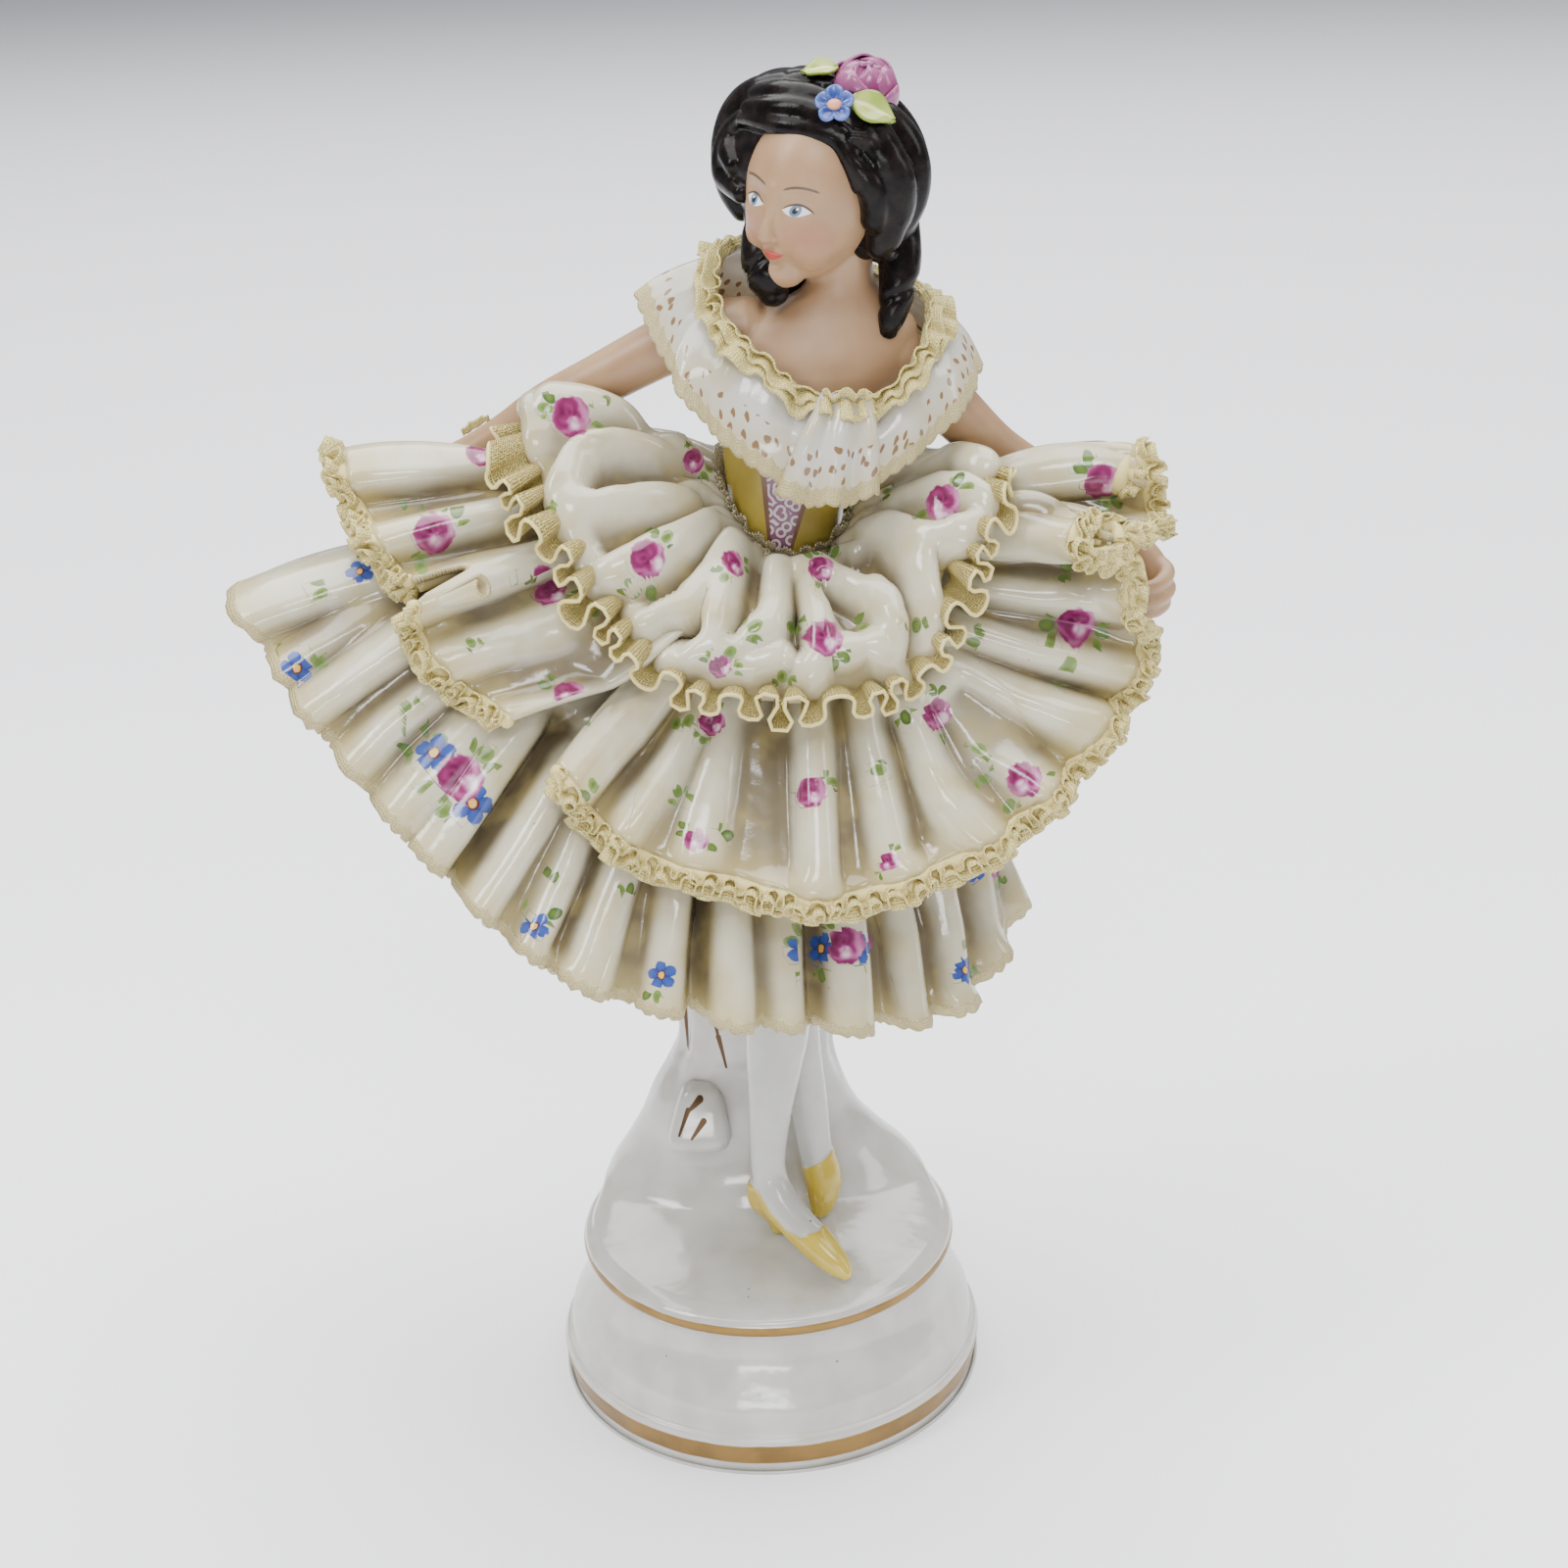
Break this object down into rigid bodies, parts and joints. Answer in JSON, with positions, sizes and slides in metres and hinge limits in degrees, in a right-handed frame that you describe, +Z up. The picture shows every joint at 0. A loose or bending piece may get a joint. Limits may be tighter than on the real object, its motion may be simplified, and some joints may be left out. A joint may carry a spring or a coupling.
{
  "type": "dresden lace figurine",
  "caption": "Porcelain dancing figurine in a tiered lace dress, lifting her skirts, on a round gold-banded foot.",
  "frame": {"origin": "centre of the flat underside of the round foot", "axes": "+Z up from the foot to the crown of the head, -Y towards the front of the figure, +X to the viewer's right"},
  "size_m": [0.1573, 0.0948, 0.2418],
  "materials": {
    "foot_porcelain": "glossy white glaze with matt gold bands",
    "skin_porcelain": "pale painted skin, black-brown glossy hair, ochre bodice",
    "lace_porcelain": "glossy ivory glaze with painted flowers, rough net lace at the edges",
    "lace_trim": "fired lace, cream yellow, half matt",
    "rose_porcelain": "glossy pink and magenta",
    "blossom_porcelain": "glossy blue with a yellow heart",
    "leaf_porcelain": "glossy yellow green"
  },
  "bodies": {
    "root": {"base": "foot_porcelain", "figure": "skin_porcelain", "collar": "lace_porcelain", "waist_lace": "lace_trim", "underskirt": "lace_porcelain", "middle_skirt": "lace_porcelain", "overskirt": "lace_porcelain", "overskirt_frill": "lace_trim", "middle_ruche": "lace_trim", "hair_rose": "rose_porcelain", "hair_blossom": "blossom_porcelain", "hair_leaf_front": "leaf_porcelain", "hair_leaf_back": "leaf_porcelain"}
  },
  "joints": []
}
